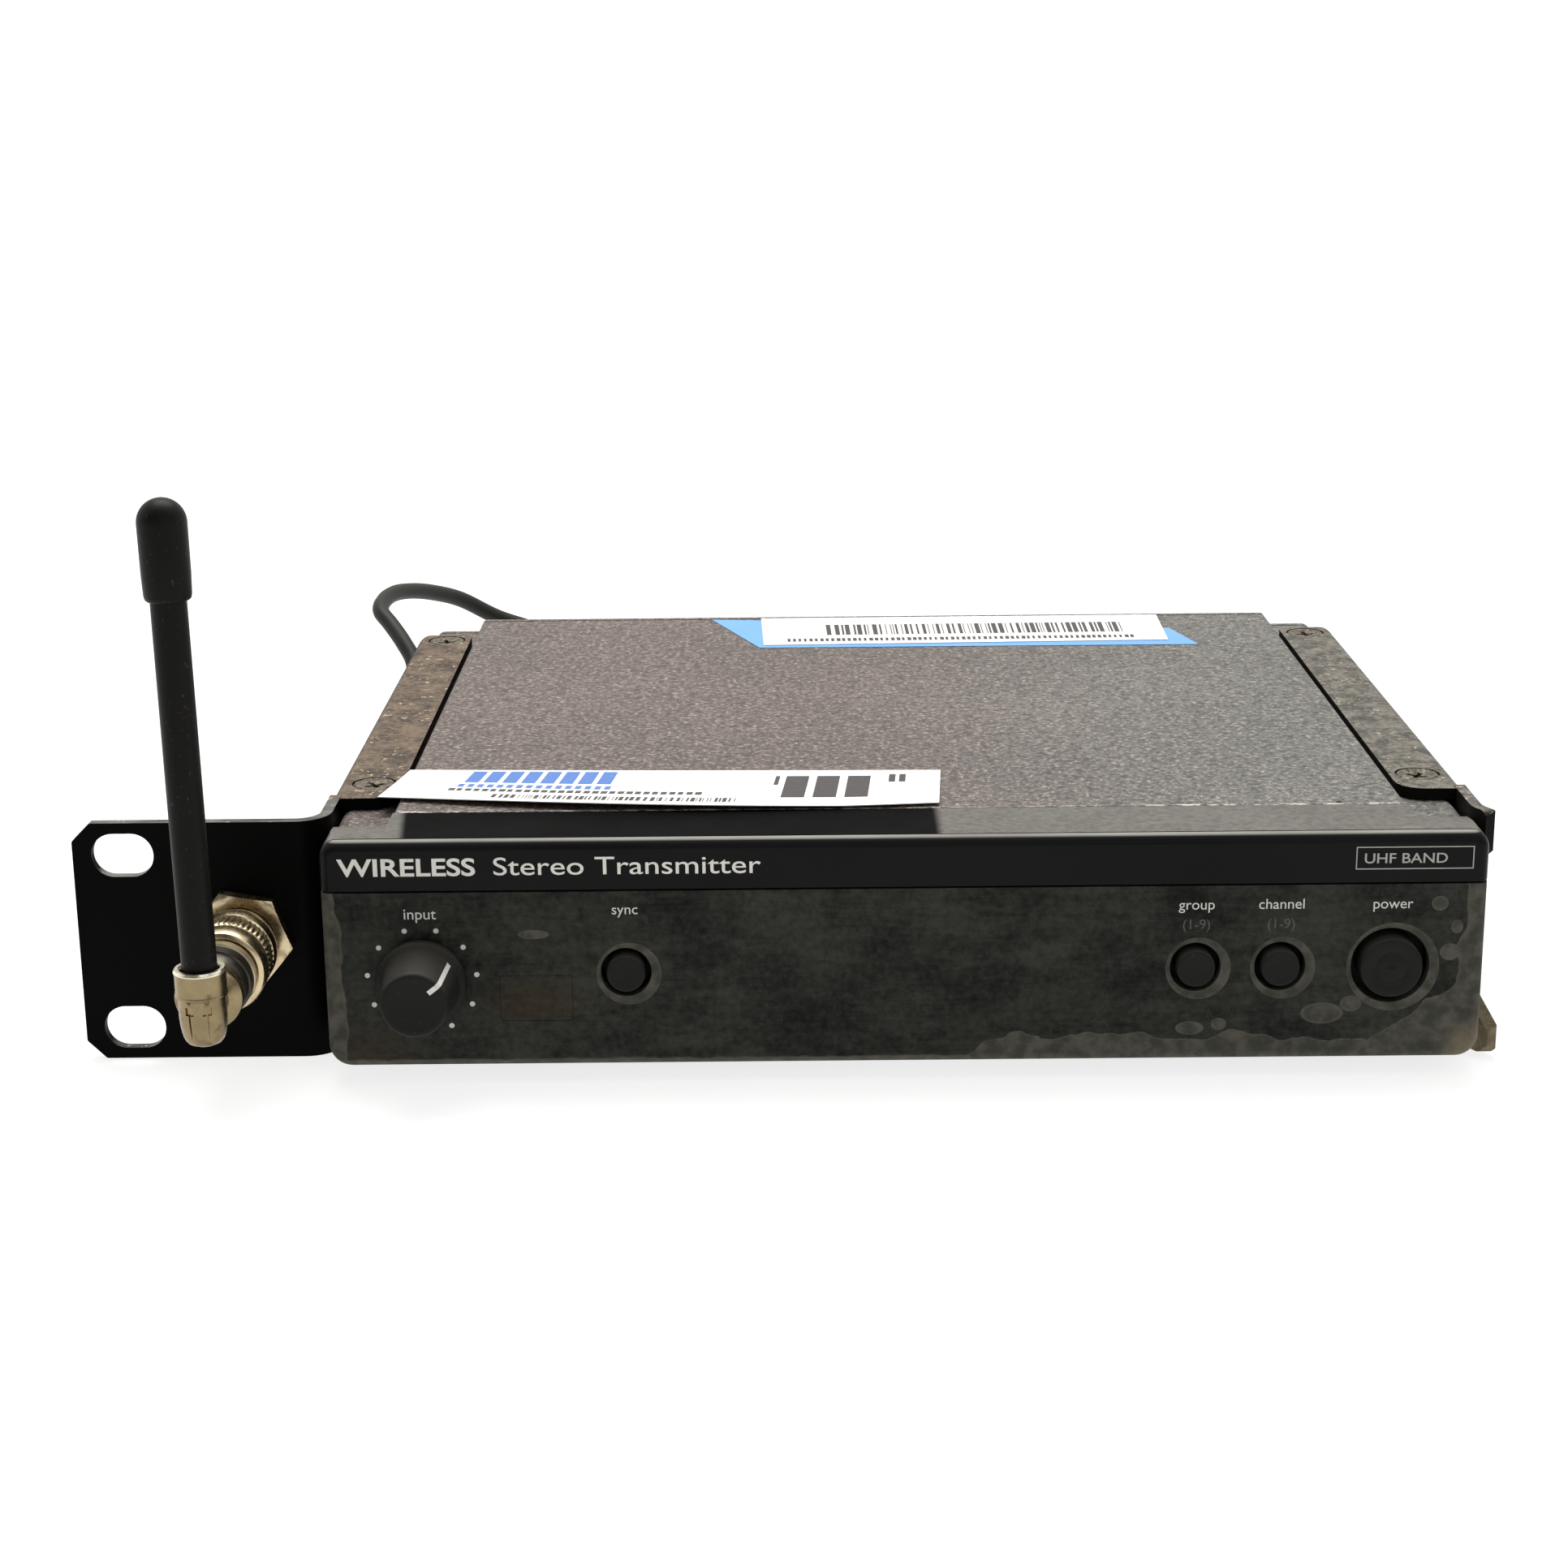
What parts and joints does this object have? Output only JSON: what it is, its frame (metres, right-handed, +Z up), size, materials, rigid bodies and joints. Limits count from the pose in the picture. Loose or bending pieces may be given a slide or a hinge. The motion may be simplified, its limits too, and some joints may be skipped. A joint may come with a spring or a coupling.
{
  "type": "wireless transmitter",
  "caption": "Half-rack wireless transmitter on rack brackets, with swivelling whip antenna on the long ear, level knob, push buttons and a coax jumper behind.",
  "frame": {"origin": "centre of the base pan's flat underside", "axes": "+Z up, -Y towards the front panel, +X to the right seen from the front"},
  "size_m": [0.2479, 0.2515, 0.1067],
  "materials": {
    "powder_coat": "fine textured charcoal powder coat",
    "moulding": "satin black moulding",
    "gloss_strip": "gloss black",
    "overlay": "satin black film with dull grey-brown adhesive residue",
    "infrared": "dark red-black filter",
    "black_steel": "smooth black paint",
    "bronze_steel": "worn black paint with a bronze sheen",
    "screw": "black zinc, rubbed bright at the recess",
    "nickel": "warm nickel plate",
    "dark_metal": "dark plated metal",
    "rubber": "matte black rubber",
    "jacket": "satin black cable jacket",
    "plastic": "satin black plastic",
    "board": "green solder mask",
    "tin": "bright tin plate",
    "paper": null,
    "print": "white screen print"
  },
  "bodies": {
    "housing": {"top_cover": "powder_coat", "base_pan": "powder_coat", "rear_panel": "powder_coat", "foot_1": "rubber", "foot_2": "rubber", "foot_3": "rubber", "foot_4": "rubber", "front_bezel": "moulding", "display_strip": "gloss_strip", "front_overlay": "overlay", "infrared_window": "infrared", "input_potentiometer": "tin", "sync_switch": "plastic", "group_switch": "plastic", "channel_switch": "plastic", "power_switch": "plastic", "control_board": "board", "main_board": "board", "display_module": "gloss_strip", "radio_shield": "tin", "rack_ear_bracket": "black_steel", "side_bracket": "bronze_steel", "bracket_screw_top_1": "screw", "bracket_screw_top_2": "screw", "bracket_screw_top_3": "screw", "bracket_screw_top_4": "screw", "bracket_screw_bottom_1": "screw", "bracket_screw_bottom_2": "screw", "bracket_screw_bottom_3": "screw", "bracket_screw_bottom_4": "screw", "adapter_barrel": "nickel", "adapter_nut": "nickel", "adapter_washer": "nickel", "cable_plug_front": "dark_metal", "cable_plug_rear": "dark_metal", "antenna_cable": "jacket", "rear_antenna_jack": "nickel", "rear_antenna_nut": "nickel", "input_jack_right": "plastic", "input_jack_left": "plastic", "loop_jack_right": "plastic", "loop_jack_left": "plastic", "power_inlet": "plastic", "level_switch": "plastic"},
    "level_knob": {"input_knob": "plastic", "input_shaft": "tin"},
    "sync_key": {"sync_button": "plastic"},
    "group_key": {"group_button": "plastic"},
    "channel_key": {"channel_button": "plastic"},
    "power_key": {"power_button": "plastic"},
    "antenna": {"antenna_collar": "dark_metal", "antenna_elbow": "nickel", "antenna_rod": "rubber", "antenna_cap": "rubber"},
    "antenna_ring": {"antenna_coupling": "nickel"},
    "front_cable_ring": {"cable_ring_front": "nickel"},
    "rear_cable_ring": {"cable_ring_rear": "nickel"},
    "level_lever": {"level_switch_lever": "plastic"}
  },
  "joints": [
    {"name": "knob_turn", "type": "hinge", "parent": "housing", "child": "level_knob", "pos_m": [-0.08225, -0.0868, 0.0158], "axis": [0, -1, 0], "range_deg": [-99.6, 200.4]},
    {"name": "sync_press", "type": "slide", "parent": "housing", "child": "sync_key", "axis": [0, 1, 0], "range_m": [0, 0.0005], "stiffness_N_per_m": 800},
    {"name": "group_press", "type": "slide", "parent": "housing", "child": "group_key", "axis": [0, 1, 0], "range_m": [0, 0.0005], "stiffness_N_per_m": 800},
    {"name": "channel_press", "type": "slide", "parent": "housing", "child": "channel_key", "axis": [0, 1, 0], "range_m": [0, 0.0005], "stiffness_N_per_m": 800},
    {"name": "power_press", "type": "slide", "parent": "housing", "child": "power_key", "axis": [0, 1, 0], "range_m": [0, 0.0015], "stiffness_N_per_m": 800},
    {"name": "antenna_swivel", "type": "hinge", "parent": "housing", "child": "antenna", "pos_m": [-0.1152, -0.1003, 0.0195], "axis": [0, -1, 0], "continuous": true},
    {"name": "antenna_lock", "type": "hinge", "parent": "housing", "child": "antenna_ring", "pos_m": [-0.1152, -0.088, 0.0195], "axis": [0, -1, 0], "range_deg": [0, 90]},
    {"name": "front_plug_lock", "type": "hinge", "parent": "housing", "child": "front_cable_ring", "pos_m": [-0.1152, -0.0541, 0.0195], "axis": [0, 1, 0], "range_deg": [0, 90]},
    {"name": "rear_plug_lock", "type": "hinge", "parent": "housing", "child": "rear_cable_ring", "pos_m": [-0.066, 0.1015, 0.0195], "axis": [0, 1, 0], "range_deg": [0, 90]},
    {"name": "level_select", "type": "slide", "parent": "housing", "child": "level_lever", "axis": [1, 0, 0], "range_m": [0, 0.004]}
  ]
}
